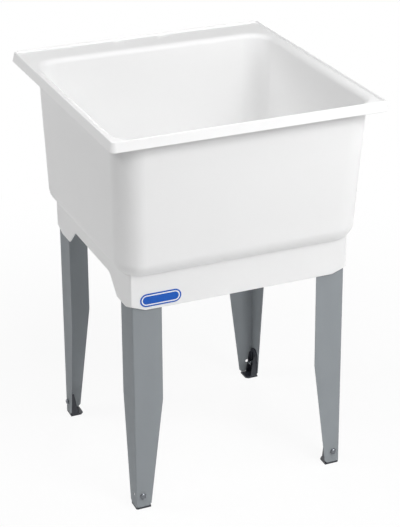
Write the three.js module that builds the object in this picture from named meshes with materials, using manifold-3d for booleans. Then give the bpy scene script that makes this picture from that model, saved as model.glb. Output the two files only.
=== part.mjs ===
// Utility laundry sink: a one-piece moulded tub with a skirt, standing on four sheet-steel
// angle legs that push up into sockets inside the skirt and end in sliding levelling feet.
// Millimetres, +Z up. The origin is on the floor, under the middle of the rim.
// -Y is the front, +Y the wall side with the wide faucet ledge.

import * as THREE from 'three';
import { mergeVertices } from 'three/addons/utils/BufferGeometryUtils.js';
import Module from 'manifold-3d';

const wasm = await Module();
wasm.setup();

// ---------------------------------------------------------------- driving dimensions

// Rim: a raised bead round a flat ledge, and a lip turned down outside it.
const rimHeight = 838; // floor to the top of the bead
const rimWidth = 570; // left to right over the top of the lip
const rimDepth = 604; // front to back over the top of the lip
const rimCornerRadius = 8;
const lipDrop = 20; // height of the turned-down lip
const lipFlare = 5; // how far the lip leans outwards by its lower edge
const lipThickness = 3.5;
const lipEdgeRadius = 2.5;
const beadWidth = 5;
const beadHeight = 4.5; // bead above the ledge
const beadSlope = 1.5; // run of the bead's inner side

// Bowl
const wall = 4;
const sideRim = 21.5; // lip to the bowl's inner wall, left and right
const frontRim = 18; // the same at the front
const faucetLedge = 77; // the same at the back
const edgeRoll = 12; // radius of the rolled edge between ledge and wall
const sideDraft = 1.8; // degrees that the walls lean in towards the floor
const frontDraft = 4.9;
const rearDraft = 1.6;
const bowlCornerRadius = 47;
const coveStart = 567; // height where the walls start to round into the floor
const coveRadius = 34; // inside radius between wall and floor
const floorFall = 12; // fall of the floor from the walls to the drain

// Faucet marks in the ledge, at the usual 4 inch spacing.
const faucetSpacing = 101.6;
const faucetMarkRadius = 14;
const faucetMarkDepth = 2;
const faucetMarkFromRear = 19; // centre of a mark from the rear lip's top edge

// Moulded drain
const sumpRadius = 36; // recess that takes strainer and stopper
const sumpTaper = 3;
const sumpDepth = 14;
const drainBore = 17.5; // radius of the outlet
const spigotRadius = 24; // outside of the outlet
const spigotLength = 36;

// Skirt below the bowl
const skirtBottom = 457.5; // height of its lower edge
const skirtWall = 3;
const skirtSideInset = 23.6; // from the bowl's outer wall where it starts to round
const skirtFrontInset = 20;
const skirtRearInset = 17;
const skirtCornerRadius = 3;
const archHeight = 37.5; // the side and rear skirts are cut up by this much
const tabWidth = 80; // corner tab that stays at each end of an arch
const archSlope = 40; // run of an arch's sloping ends
const archFillet = 9;
const bevelRun = 31; // bevel under each skirt corner
const bevelRise = 11.5;

// Legs and their sockets
const legWidth = 62.5; // flange width at the top
const legFootWidth = 33.5; // flange width at the floor end
const legThickness = 1.6;
const legBend = 3; // outside bend radius
const legClear = 4.6; // lower end of the leg above the floor
const legLean = 2.5; // how far the floor end stands out beyond the skirt's edge, both ways
const taperStart = 250; // height above which the flanges are parallel
const legCornerCut = 5.5;
const socketRib = 3;
const socketRecess = 5; // socket rib above the skirt's lower edge
const fit = 0.3; // clearance between seated pieces

// Levelling feet
const footThickness = 3.5; // upright
const footBase = 4; // thickness of the base, which reaches out under the leg
const footBaseCorner = 2.5; // cut at its outer corner
const footWidth = 29;
const footDepth = 28; // base, from the inside of the leg
const footHeight = 69;
const footTopRadius = 13;
const footCornerCut = 6;
const gussetWidth = 2.5;
const gussetRun = 12.5;
const gussetCrest = 4; // run at its top
const footTravel = 25;

// Foot fasteners: quarter inch screw, washer and nut
const screwRadius = 3.175;
const screwHeight = 31; // above the floor
const screwFromCorner = 14.5;
const screwLength = 16; // under the head
const headAcross = 11.1; // across the flats, head and nut
const headHeight = 3.6;
const headFlange = 6.6; // radius of the flange under the head
const headFlangeThickness = 1.2;
const holeClearance = 0.4;
const washerRadius = 8;
const washerThickness = 1.6;
const nutHeight = 5.5;

// Strainer and stopper
const strainerThickness = 1.5;
const strainerHole = 2.4; // radius
const strainerPitch = 6.8;
const strainerRings = 2;
const strainerRingStep = 6; // more holes in each ring than in the one inside it
const stopperHeight = 11;
const stopperEdge = 1; // bevel
const stopperTabWidth = 14;
const stopperTabThickness = 4;
const stopperTabHeight = 13; // above the plug
const stopperTabCorner = 4.5;
const pullRingRadius = 9;
const pullRingWire = 1.1;

// Tailpiece with its washer and slip nut
const tailpieceRadius = 19.05;
const tailpieceWall = 1.6;
const tailpieceLength = 90;
const tailpieceFlange = 22.6;
const flangeThickness = 3;
const sealThickness = 2;
const nutWall = 4;
const slipNutHeight = 22;
const slipNutLip = 4; // thickness of the lip that holds the flange
const nutLugs = 8;
const lugHeight = 1.8;
const lugWidth = 7;
const slipNutEdge = 1; // bevel
const lugInset = 2; // a lug ends this far from the nut's ends

// Plain label on the front skirt
const labelWidth = 87;
const labelHeight = 28;
const labelThickness = 0.6;
const labelCorner = 13.5;
const labelFromSide = 62.5; // its centre from the skirt's left corner
const labelAboveEdge = 21; // its centre above the skirt's lower edge

// Facets
const cornerSteps = 7;
const arcSteps = 5;
const roundSides = 32;
const boltSides = 16;
const holeSides = 12;
const hexSides = 6;
const wireSides = 8;

// How far joined solids run into each other and cutters run past a face.
const overlap = 1;
const smallestRadius = 1;
const mergeDistance = 1e-4;

// ---------------------------------------------------------------- derived sizes

const radians = THREE.MathUtils.degToRad;
const ledgeHeight = rimHeight - beadHeight;
const bowlTop = ledgeHeight - edgeRoll; // where the rolled edge meets the wall
const floorEdge = coveStart - coveRadius; // inner floor beside the walls
const sumpTop = floorEdge - floorFall;
const sumpFloor = sumpTop - sumpDepth;
const spigotEnd = sumpFloor - wall - spigotLength;

// ---------------------------------------------------------------- solids from geometries

/** A geometry with its shared vertices merged. */
function indexed(geometry) {
  const bare = geometry.clone();
  bare.deleteAttribute('normal');
  bare.deleteAttribute('uv');
  return mergeVertices(bare, mergeDistance);
}

/** A manifold solid from a closed geometry. */
function solidOf(geometry) {
  const merged = indexed(geometry);
  const index = Array.from(merged.index.array);
  const triVerts = [];
  for (let i = 0; i < index.length; i += 3) {
    const [a, b, c] = index.slice(i, i + 3);
    if (a !== b && b !== c && c !== a) triVerts.push(a, b, c);
  }
  const vertProperties = new Float32Array(merged.attributes.position.array);
  return new wasm.Manifold(new wasm.Mesh({
    numProp: 3,
    vertProperties,
    triVerts: new Uint32Array(triVerts),
  }));
}

/** The geometry of a manifold solid. */
function geometryOf(solid) {
  const mesh = solid.getMesh();
  const geometry = new THREE.BufferGeometry();
  geometry.setAttribute('position', new THREE.BufferAttribute(new Float32Array(mesh.vertProperties), 3));
  geometry.setIndex(new THREE.BufferAttribute(new Uint32Array(mesh.triVerts), 1));
  geometry.computeVertexNormals();
  return geometry;
}

const joined = (...parts) => parts.map(solidOf).reduce((sum, part) => sum.add(part));
const cutBy = (solid, cutters) => cutters.map(solidOf).reduce((rest, part) => rest.subtract(part), solid);

/** An outline pushed up from height `from` to height `to`. */
function upright(shape, from, to, curveSegments = arcSteps) {
  const geometry = new THREE.ExtrudeGeometry(shape, { depth: to - from, bevelEnabled: false, curveSegments });
  return geometry.translate(0, 0, from);
}

/** An outline in the XZ plane pushed along Y between two places. */
function acrossY(shape, from, to, curveSegments = arcSteps) {
  const geometry = new THREE.ExtrudeGeometry(shape, { depth: to - from, bevelEnabled: false, curveSegments });
  const turn = new THREE.Matrix4().makeBasis(
    new THREE.Vector3(1, 0, 0), new THREE.Vector3(0, 0, 1), new THREE.Vector3(0, -1, 0));
  return geometry.applyMatrix4(turn).translate(0, to, 0);
}

/** An outline in the YZ plane pushed along X between two places. */
function acrossX(shape, from, to, curveSegments = arcSteps) {
  const geometry = new THREE.ExtrudeGeometry(shape, { depth: to - from, bevelEnabled: false, curveSegments });
  const turn = new THREE.Matrix4().makeBasis(
    new THREE.Vector3(0, 1, 0), new THREE.Vector3(0, 0, 1), new THREE.Vector3(1, 0, 0));
  return geometry.applyMatrix4(turn).translate(from, 0, 0);
}

/** A round bar along Y, with its middle line at (x, z). */
function barAlongY(radius, from, to, x, z, sides = boltSides) {
  const bar = new THREE.CylinderGeometry(radius, radius, to - from, sides);
  return bar.translate(x, (from + to) / 2, z);
}

/** A body turned about a vertical line, from (radius, height) points that start and end on it. */
function turned(points, sides = roundSides) {
  const profile = points.map(([r, z]) => new THREE.Vector2(r, z));
  return new THREE.LatheGeometry(profile, sides).rotateX(Math.PI / 2);
}

/** A ring turned about a vertical line, from (radius, height) points that close on themselves. */
function turnedRing(points, sides = roundSides) {
  return turned([...points, points[0]], sides);
}

/** Mirrors a geometry left-right (sx = -1), front-back (sy = -1) or over the corner's diagonal. */
function mirrored(geometry, sx, sy, diagonal = false) {
  const copy = indexed(geometry);
  const turn = new THREE.Matrix4().makeScale(sx, sy, 1);
  if (diagonal) {
    turn.multiply(new THREE.Matrix4().makeBasis(
      new THREE.Vector3(0, 1, 0), new THREE.Vector3(1, 0, 0), new THREE.Vector3(0, 0, 1)));
  }
  copy.applyMatrix4(turn);
  if (turn.determinant() < 0) {
    const index = copy.index.array;
    for (let i = 0; i < index.length; i += 3) [index[i + 1], index[i + 2]] = [index[i + 2], index[i + 1]];
  }
  copy.computeVertexNormals();
  return copy;
}

/** A rectangle outline between two corners, its corners rounded. */
function roundedRectangle(x0, y0, x1, y1, radius) {
  const shape = new THREE.Shape();
  shape.absarc(x1 - radius, y0 + radius, radius, -Math.PI / 2, 0);
  shape.absarc(x1 - radius, y1 - radius, radius, 0, Math.PI / 2);
  shape.absarc(x0 + radius, y1 - radius, radius, Math.PI / 2, Math.PI);
  shape.absarc(x0 + radius, y0 + radius, radius, Math.PI, Math.PI * 1.5);
  shape.closePath();
  return shape;
}

/** A polygon outline from a list of corners. */
function polygon(corners) {
  return new THREE.Shape(corners.map(([x, y]) => new THREE.Vector2(x, y)));
}

// ---------------------------------------------------------------- tub

/** The rim's outline, `inset` inside the lip's top edge. */
function rimOutline(inset, z) {
  return {
    half: rimWidth / 2 - inset,
    front: -rimDepth / 2 + inset,
    rear: rimDepth / 2 - inset,
    radius: Math.max(rimCornerRadius - inset, smallestRadius),
    z,
  };
}

/** How far the leaning lip stands out at a height. */
const lipReach = (z) => lipFlare * (rimHeight - z) / lipDrop;

/** The bowl's inner wall at a height, `inset` further in. */
function bowlOutline(z, inset = 0) {
  const depth = bowlTop - z;
  return {
    half: rimWidth / 2 - sideRim - depth * Math.tan(radians(sideDraft)) - inset,
    front: -rimDepth / 2 + frontRim + depth * Math.tan(radians(frontDraft)) + inset,
    rear: rimDepth / 2 - faucetLedge - depth * Math.tan(radians(rearDraft)) - inset,
    radius: Math.max(bowlCornerRadius - inset, smallestRadius),
    z,
  };
}

const bowlBase = bowlOutline(coveStart);
const drainY = (bowlBase.front + bowlBase.rear) / 2;

/** A round outline about the drain. */
function drainOutline(radius, z) {
  return { half: radius, front: drainY - radius, rear: drainY + radius, radius, z };
}

/** The points of an outline: four corner arcs, counter-clockwise from above. */
function ringPoints({ half, front, rear, radius, z }) {
  const corners = [
    [half - radius, front + radius, -Math.PI / 2],
    [half - radius, rear - radius, 0],
    [-half + radius, rear - radius, Math.PI / 2],
    [-half + radius, front + radius, Math.PI],
  ];
  return corners.flatMap(([x, y, start]) => {
    const arc = new THREE.EllipseCurve(x, y, radius, radius, start, start + Math.PI / 2);
    return arc.getPoints(cornerSteps).map((p) => new THREE.Vector3(p.x, p.y, z));
  });
}

/** A closed skin through a loop of outlines, or between two end caps when it isn't a loop. */
function loft(outlines, loop) {
  const rings = outlines.map(ringPoints);
  const count = rings[0].length;
  const positions = rings.flat().flatMap((p) => p.toArray());
  const index = [];
  const steps = loop ? rings.length : rings.length - 1;
  for (let i = 0; i < steps; i++) {
    const next = (i + 1) % rings.length;
    for (let j = 0; j < count; j++) {
      const k = (j + 1) % count;
      index.push(i * count + j, i * count + k, next * count + k);
      index.push(i * count + j, next * count + k, next * count + j);
    }
  }
  if (!loop) {
    const last = (rings.length - 1) * count;
    for (let j = 1; j < count - 1; j++) {
      index.push(0, j + 1, j);
      index.push(last, last + j, last + j + 1);
    }
  }
  const geometry = new THREE.BufferGeometry();
  geometry.setAttribute('position', new THREE.Float32BufferAttribute(positions, 3));
  geometry.setIndex(index);
  return geometry;
}

/** Outlines round a quarter circle: `at` makes one from the sideways and upward shares. */
function quarterArc(at, from = 0, to = 90) {
  return Array.from({ length: arcSteps + 1 }, (_, i) => {
    const angle = radians(from + (to - from) * i / arcSteps);
    return at(1 - Math.cos(angle), Math.sin(angle));
  });
}

/** The cove between wall and floor: `grow` is 0 for the inside and the wall for the outside. */
function coveOutlines(grow) {
  const radius = coveRadius + grow;
  return quarterArc((side, up) => ({
    ...bowlOutline(coveStart, radius * side - grow), z: coveStart - radius * up,
  }));
}

/** Everything inside the bowl, as a solid to take away: from the sump up past the rim. */
function bowlCavity() {
  return loft([
    drainOutline(sumpRadius - sumpTaper, sumpFloor),
    drainOutline(sumpRadius, sumpTop),
    ...coveOutlines(0).reverse(),
    bowlOutline(bowlTop),
  ], false);
}

/** The moulding from the outlet's end, out under the bowl, over the rim and back down inside. */
function bowlShell() {
  const innerRoll = edgeRoll - wall;
  const ledgeUnder = ledgeHeight - wall;
  const lipBottom = rimHeight - lipDrop;
  return loft([
    drainOutline(spigotRadius, spigotEnd),
    drainOutline(spigotRadius, sumpFloor - wall),
    drainOutline(sumpRadius - sumpTaper + wall, sumpFloor - wall),
    drainOutline(sumpRadius + wall, sumpTop - wall),
    ...coveOutlines(wall).reverse(),
    ...quarterArc((side, up) => ({
      ...bowlOutline(bowlTop, -wall - innerRoll * side), z: bowlTop + innerRoll * up,
    })),
    rimOutline(lipThickness - lipReach(ledgeUnder), ledgeUnder),
    rimOutline(lipThickness - lipReach(lipBottom), lipBottom),
    rimOutline(-lipFlare, lipBottom),
    ...quarterArc((side, up) => {
      const z = rimHeight - lipEdgeRadius * (1 - up);
      return rimOutline(lipEdgeRadius * side - lipReach(z), z);
    }),
    rimOutline(beadWidth - beadSlope, rimHeight),
    rimOutline(beadWidth, ledgeHeight),
    ...quarterArc((side, up) => ({
      ...bowlOutline(bowlTop, -edgeRoll * side), z: bowlTop + edgeRoll * up,
    })).reverse(),
    ...coveOutlines(0),
    drainOutline(sumpRadius, sumpTop),
    drainOutline(sumpRadius - sumpTaper, sumpFloor),
    drainOutline(drainBore, sumpFloor),
    drainOutline(drainBore, spigotEnd),
  ], true);
}

const skirt = {
  half: bowlBase.half + wall - skirtSideInset,
  front: bowlBase.front - wall + skirtFrontInset,
  rear: bowlBase.rear + wall - skirtRearInset,
};

/** One side of the skirt's arch, as an outline along the skirt (u) and up (z). */
function archOutline(from, to) {
  const top = skirtBottom + archHeight;
  const low = skirtBottom - archFillet;
  const run = archSlope * (archHeight + archFillet) / archHeight;
  const foot = from + tabWidth - run + archSlope;
  const end = to - tabWidth + run - archSlope;
  const slopeLength = Math.hypot(run, archHeight + archFillet);
  const back = archFillet / slopeLength;
  const shape = new THREE.Shape();
  shape.moveTo(foot, low);
  shape.lineTo(end, low);
  shape.lineTo(end - run * (1 - back), top - (archHeight + archFillet) * back);
  shape.quadraticCurveTo(end - run, top, end - run - archFillet, top);
  shape.lineTo(foot + run + archFillet, top);
  shape.quadraticCurveTo(foot + run, top, foot + run * (1 - back), top - (archHeight + archFillet) * back);
  shape.closePath();
  return shape;
}

/** The bevels under the two corners of one skirt wall, as triangles along it (u) and up (z). */
function bevelOutlines(from, to) {
  const steepness = bevelRise / bevelRun;
  const low = skirtBottom - overlap;
  const high = skirtBottom + bevelRise + overlap * steepness;
  const run = bevelRun + overlap / steepness;
  return [
    polygon([[from - overlap, low], [from + run, low], [from - overlap, high]]),
    polygon([[to + overlap, low], [to + overlap, high], [to - run, low]]),
  ];
}

/** The skirt's four walls, from their lower edge up into the bowl's rounding. */
function skirtSolid() {
  const { half, front, rear } = skirt;
  const outer = roundedRectangle(-half, front, half, rear, skirtCornerRadius);
  outer.holes.push(roundedRectangle(
    -half + skirtWall, front + skirtWall, half - skirtWall, rear - skirtWall,
    Math.max(skirtCornerRadius - skirtWall, smallestRadius)));
  const ring = solidOf(upright(outer, skirtBottom, coveStart - overlap));
  const arches = [
    acrossX(archOutline(front, rear), -half - overlap, half + overlap),
    acrossY(archOutline(-half, half), (front + rear) / 2, rear + overlap),
  ];
  const bevels = [
    ...bevelOutlines(-half, half).map((shape) => acrossY(shape, front - overlap, front + skirtWall)),
    ...bevelOutlines(-half, half).map((shape) => acrossY(shape, rear - skirtWall, rear + overlap)),
    ...bevelOutlines(front, rear).map((shape) => acrossX(shape, -half - overlap, -half + skirtWall)),
    ...bevelOutlines(front, rear).map((shape) => acrossX(shape, half - skirtWall, half + overlap)),
  ];
  return cutBy(ring, [...arches, ...bevels]);
}

/** An L outline with its corner at the origin, arms along +X and +Y, its inner corner cut off by `cut`. */
function angleOutline(from, reach, thickness, cut) {
  return polygon([
    [from, from], [reach, from], [reach, thickness], [thickness + cut, thickness],
    [thickness, thickness + cut], [thickness, reach], [from, reach],
  ]);
}

const legTop = coveStart - coveRadius - wall - fit;
const corners = [
  { name: 'front_left', sx: 1, sy: 1, x: -skirt.half + skirtWall + fit, y: skirt.front + skirtWall + fit },
  { name: 'front_right', sx: -1, sy: 1, x: skirt.half - skirtWall - fit, y: skirt.front + skirtWall + fit },
  { name: 'rear_left', sx: 1, sy: -1, x: -skirt.half + skirtWall + fit, y: skirt.rear - skirtWall - fit },
  { name: 'rear_right', sx: -1, sy: -1, x: skirt.half - skirtWall - fit, y: skirt.rear - skirtWall - fit },
];

/** How far outwards, both ways, a leaning leg stands at a height; it is 0 at the skirt's lower edge. */
const leanAt = (z) => legLean * (1 - z / skirtBottom);

/** The socket inside one skirt corner: an L rib with a slot that the leaning leg's top fits. */
function socketSolid({ sx, sy, x, y }) {
  const room = fit - leanAt(legTop); // the leg's top leans away from the skirt
  const ribReach = legWidth + room + socketRib;
  const ribThickness = legThickness + room + socketRib;
  const intoSkirt = skirtWall / 2;
  const innerBend = legBend - legThickness;
  const rib = upright(angleOutline(-fit - intoSkirt, ribReach, ribThickness, innerBend),
    skirtBottom + bevelRise + socketRecess, coveStart - overlap);
  const slot = upright(angleOutline(-fit, legWidth + room, legThickness + room, innerBend),
    skirtBottom, legTop + fit);
  return cutBy(solidOf(mirrored(rib, sx, sy).translate(x, y, 0)),
    [mirrored(slot, sx, sy).translate(x, y, 0)]);
}

/** A shallow round dish in the ledge that marks a faucet hole. */
function faucetMark(x) {
  const sphere = (faucetMarkRadius ** 2 + faucetMarkDepth ** 2) / (2 * faucetMarkDepth);
  const edge = Math.asin(faucetMarkRadius / sphere);
  const dish = Array.from({ length: arcSteps + 1 }, (_, i) => {
    const angle = edge * i / arcSteps;
    return [sphere * Math.sin(angle), sphere - faucetMarkDepth - sphere * Math.cos(angle)];
  });
  const y = rimDepth / 2 - faucetMarkFromRear;
  return turned([...dish, [faucetMarkRadius, beadHeight], [0, beadHeight]]).translate(x, y, ledgeHeight);
}

function tubGeometry() {
  const below = [skirtSolid(), ...corners.map(socketSolid)].reduce((sum, part) => sum.add(part));
  const trimmed = below.subtract(solidOf(bowlCavity()));
  const moulding = solidOf(bowlShell()).add(trimmed);
  return geometryOf(cutBy(moulding, [faucetMark(-faucetSpacing / 2), faucetMark(faucetSpacing / 2)]));
}

// ---------------------------------------------------------------- drain pieces

/** The perforated disc on the sump's floor: one hole, then rings with more in each. */
function strainerGeometry() {
  const top = strainerThickness;
  const radius = sumpRadius - sumpTaper - fit;
  const disc = turned([[0, 0], [radius, 0], [radius, top], [0, top]]);
  const holes = [];
  for (let ring = 0; ring <= strainerRings; ring++) {
    const count = Math.max(strainerRingStep * ring, 1);
    const out = strainerPitch * ring;
    for (let i = 0; i < count; i++) {
      const angle = 2 * Math.PI * i / count;
      const hole = turned([
        [0, -overlap], [strainerHole, -overlap], [strainerHole, top + overlap], [0, top + overlap],
      ], holeSides);
      holes.push(hole.translate(out * Math.cos(angle), out * Math.sin(angle), 0));
    }
  }
  return geometryOf(cutBy(solidOf(disc), holes)).translate(0, 0, sumpFloor + fit);
}

const stopperLow = sumpFloor + fit + strainerThickness + fit;
const stopperTop = stopperLow + stopperHeight;
const eyeHeight = stopperTop + stopperTabHeight / 2;

/** The rubber plug that fills the sump above the strainer, with a tab and an eye for its ring. */
function stopperGeometry() {
  const sumpAt = (z) => sumpRadius - sumpTaper * (sumpTop - z) / sumpDepth - 2 * fit;
  const edge = stopperEdge;
  const plug = turned([
    [0, stopperLow], [sumpAt(stopperLow) - edge, stopperLow], [sumpAt(stopperLow), stopperLow + edge],
    [sumpAt(stopperTop), stopperTop - edge], [sumpAt(stopperTop) - edge, stopperTop], [0, stopperTop],
  ]);
  const halfTab = stopperTabThickness / 2;
  const tab = acrossY(roundedRectangle(
    -stopperTabWidth / 2, stopperTop - stopperHeight / 2, stopperTabWidth / 2, stopperTop + stopperTabHeight,
    stopperTabCorner), -halfTab, halfTab);
  const eye = barAlongY(pullRingWire + 2 * fit, -halfTab - overlap, halfTab + overlap, 0, eyeHeight);
  return geometryOf(cutBy(joined(plug, tab), [eye]));
}

/** The wire ring through the stopper's eye, fallen over until it rests on the plug. */
function pullRingGeometry() {
  const drop = eyeHeight - stopperTop - pullRingWire - fit;
  const ring = new THREE.TorusGeometry(pullRingRadius, pullRingWire, wireSides, roundSides);
  return ring.translate(pullRingRadius, 0, 0).rotateY(Math.asin(drop / (2 * pullRingRadius)))
    .translate(0, 0, eyeHeight);
}

const sealTop = spigotEnd - fit;
const tailTop = sealTop - sealThickness - fit;

function sealGeometry() {
  return turnedRing([
    [drainBore, sealTop - sealThickness], [tailpieceFlange, sealTop - sealThickness],
    [tailpieceFlange, sealTop], [drainBore, sealTop],
  ]);
}

function tailpieceGeometry() {
  const bottom = tailTop - tailpieceLength;
  const bore = tailpieceRadius - tailpieceWall;
  return turnedRing([
    [bore, bottom], [tailpieceRadius, bottom], [tailpieceRadius, tailTop - flangeThickness],
    [tailpieceFlange, tailTop - flangeThickness], [tailpieceFlange, tailTop], [bore, tailTop],
  ]);
}

/** The slip nut: it screws on the outlet and its lip carries the tailpiece's flange. */
function slipNutGeometry() {
  const shelf = tailTop - flangeThickness - fit;
  const bottom = shelf - slipNutLip;
  const inside = spigotRadius + fit;
  const outside = inside + nutWall;
  const collar = turnedRing([
    [tailpieceRadius + fit, bottom], [outside - slipNutEdge, bottom], [outside, bottom + slipNutEdge],
    [outside, bottom + slipNutHeight], [inside, bottom + slipNutHeight], [inside, shelf],
    [tailpieceRadius + fit, shelf],
  ]);
  const lugs = Array.from({ length: nutLugs }, (_, i) => {
    const lug = new THREE.BoxGeometry(lugHeight + overlap, lugWidth, slipNutHeight - 2 * lugInset);
    return lug.translate(outside + (lugHeight - overlap) / 2, 0, bottom + slipNutHeight / 2)
      .rotateZ(2 * Math.PI * i / nutLugs);
  });
  return geometryOf(joined(collar, ...lugs));
}

// ---------------------------------------------------------------- legs and feet
// Each is made for a corner at the origin with its arms along +X and +Y, then mirrored.

/** An angle leg. It leans outwards towards the floor: a sideways shift that grows with the drop. */
function legGeometry() {
  const t = legThickness;
  const section = new THREE.Shape();
  section.moveTo(legBend, 0);
  section.lineTo(legWidth, 0);
  section.lineTo(legWidth, t);
  section.lineTo(legBend, t);
  section.absarc(legBend, legBend, legBend - t, -Math.PI / 2, -Math.PI, true);
  section.lineTo(t, legWidth);
  section.lineTo(0, legWidth);
  section.lineTo(0, legBend);
  section.absarc(legBend, legBend, legBend, Math.PI, Math.PI * 1.5);
  section.closePath();
  const taper = polygon([
    [legFootWidth - legCornerCut, legClear - overlap], [legFootWidth - legCornerCut, legClear],
    [legFootWidth, legClear + legCornerCut], [legWidth, taperStart],
    [legWidth + overlap, taperStart], [legWidth + overlap, legClear - overlap],
  ]);
  const hole = screwRadius + holeClearance;
  const cutters = [
    acrossY(taper, -overlap, legWidth + overlap),
    acrossX(taper, -overlap, legWidth + overlap),
    barAlongY(hole, -overlap, t + overlap, screwFromCorner, screwHeight),
    barAlongY(hole, -overlap, t + overlap, screwFromCorner, screwHeight).rotateZ(Math.PI / 2)
      .translate(t, 0, 0),
  ];
  const drift = leanAt(0) - leanAt(1); // for each millimetre of height
  const lean = new THREE.Matrix4().set(
    1, 0, drift, -legLean,
    0, 1, drift, -legLean,
    0, 0, 1, 0,
    0, 0, 0, 1);
  return geometryOf(cutBy(solidOf(upright(section, legClear, legTop)), cutters)).applyMatrix4(lean);
}

/** A foot that stands against the inside of the arm along +X. */
function footGeometry() {
  const side = legBend + fit; // clear of the leg's bend
  const end = side + footWidth;
  const start = legThickness + fit;
  const back = start + footThickness;
  const plate = roundedRectangle(side, -footTopRadius, end, footHeight, footTopRadius);
  const slotHalf = screwRadius + holeClearance;
  const slot = new THREE.Path();
  slot.absarc(screwFromCorner, screwHeight, slotHalf, Math.PI, 0);
  slot.absarc(screwFromCorner, screwHeight + footTravel, slotHalf, 0, Math.PI);
  slot.closePath();
  plate.holes.push(slot);
  const below = upright(polygon([
    [0, 0], [end + overlap, 0], [end + overlap, back + overlap], [0, back + overlap],
  ]), -2 * footTopRadius, 0);
  const deep = start + footDepth;
  const base = polygon([
    [footBaseCorner, 0], [end, 0], [end, deep - footCornerCut], [end - footCornerCut, deep],
    [0, deep], [0, footBaseCorner],
  ]);
  const gussetTop = footHeight - footTopRadius;
  const gusset = polygon([
    [back - overlap, footBase - overlap], [back + gussetRun, footBase - overlap],
    [back + gussetCrest, gussetTop], [back - overlap, gussetTop],
  ]);
  const whole = joined(
    acrossY(plate, start, back),
    upright(base, 0, footBase),
    acrossX(gusset, side, side + gussetWidth),
    acrossX(gusset, end - gussetWidth, end),
  );
  return geometryOf(cutBy(whole, [below]));
}

const hexRadius = headAcross / 2 / Math.cos(Math.PI / 6);
const nutStart = legThickness + 3 * fit + footThickness + washerThickness;

function screwGeometry() {
  const x = screwFromCorner;
  const z = screwHeight;
  const flange = -fit - headFlangeThickness;
  const insideFlange = -fit - headFlangeThickness / 2;
  return geometryOf(joined(
    barAlongY(screwRadius, insideFlange, screwLength, x, z),
    barAlongY(headFlange, flange, -fit, x, z, roundSides),
    barAlongY(hexRadius, flange - headHeight, insideFlange, x, z, hexSides),
  ));
}

function washerGeometry() {
  const from = legThickness + 2 * fit + footThickness;
  const to = from + washerThickness;
  const hole = barAlongY(screwRadius + fit, from - overlap, to + overlap, screwFromCorner, screwHeight);
  const disc = barAlongY(washerRadius, from, to, screwFromCorner, screwHeight, roundSides);
  return geometryOf(cutBy(solidOf(disc), [hole]));
}

function nutGeometry() {
  const to = nutStart + nutHeight;
  const hole = barAlongY(screwRadius + fit, nutStart - overlap, to + overlap, screwFromCorner, screwHeight);
  const block = barAlongY(hexRadius, nutStart, to, screwFromCorner, screwHeight, hexSides);
  return geometryOf(cutBy(solidOf(block), [hole]));
}

// ---------------------------------------------------------------- label

function labelGeometry() {
  const x = -skirt.half + labelFromSide;
  const z = skirtBottom + labelAboveEdge;
  const outline = roundedRectangle(
    x - labelWidth / 2, z - labelHeight / 2, x + labelWidth / 2, z + labelHeight / 2, labelCorner);
  return acrossY(outline, skirt.front - fit - labelThickness, skirt.front - fit);
}

// ---------------------------------------------------------------- materials and assembly

function finish(color, roughness, metalness) {
  return new THREE.MeshStandardMaterial({ color, roughness, metalness });
}

const finishes = {
  tub: () => finish('#f2f1ef', 0.35, 0),
  leg: () => finish('#8e9498', 0.45, 0.6),
  foot: () => finish('#1c1d20', 0.55, 0),
  bolt: () => finish('#b9bcc0', 0.35, 0.9),
  steel: () => finish('#c4c6c8', 0.25, 1),
  rubber: () => finish('#26272a', 0.8, 0),
  pipe: () => finish('#e6e6e2', 0.4, 0),
  label: () => finish('#1d5fae', 0.3, 0),
};

const sink = new THREE.Group();
sink.name = 'utility_sink';

/** Adds one named piece to a group. */
function add(group, name, geometry, material) {
  const mesh = new THREE.Mesh(geometry, material);
  mesh.name = name;
  group.add(mesh);
}

add(sink, 'tub', tubGeometry(), finishes.tub());
add(sink, 'front_label', labelGeometry(), finishes.label());

const drain = new THREE.Group();
drain.position.set(0, drainY, 0);
sink.add(drain);
add(drain, 'drain_strainer', strainerGeometry(), finishes.steel());
add(drain, 'drain_stopper', stopperGeometry(), finishes.rubber());
add(drain, 'stopper_ring', pullRingGeometry(), finishes.steel());
add(drain, 'tailpiece_washer', sealGeometry(), finishes.rubber());
add(drain, 'drain_tailpiece', tailpieceGeometry(), finishes.pipe());
add(drain, 'slip_nut', slipNutGeometry(), finishes.pipe());

const footShift = leanAt(footHeight / 2);
for (const { name, sx, sy, x, y } of corners) {
  const corner = new THREE.Group();
  corner.position.set(x, y, 0);
  sink.add(corner);
  add(corner, `leg_${name}`, mirrored(legGeometry(), sx, sy), finishes.leg());
  const end = new THREE.Group();
  end.position.set(-sx * footShift, -sy * footShift, 0);
  corner.add(end);
  const onSide = sy < 0; // the rear feet are screwed to the side arms, the front feet to the front arms
  add(end, `foot_${name}`, mirrored(footGeometry(), sx, sy, onSide), finishes.foot());
  add(end, `foot_screw_${name}`, mirrored(screwGeometry(), sx, sy, onSide), finishes.bolt());
  add(end, `foot_washer_${name}`, mirrored(washerGeometry(), sx, sy, onSide), finishes.bolt());
  add(end, `foot_nut_${name}`, mirrored(nutGeometry(), sx, sy, onSide), finishes.bolt());
}

export default sink;
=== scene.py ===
"""Utility laundry sink: finished surfaces, materials, floor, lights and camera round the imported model.

Metres, +Z up, -Y is the front. The origin is on the floor, under the middle of the rim.
"""

import math

import bmesh
import bpy
import numpy as np
from bpy.props import FloatProperty, FloatVectorProperty, PointerProperty
from mathutils import Matrix, Vector


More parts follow.
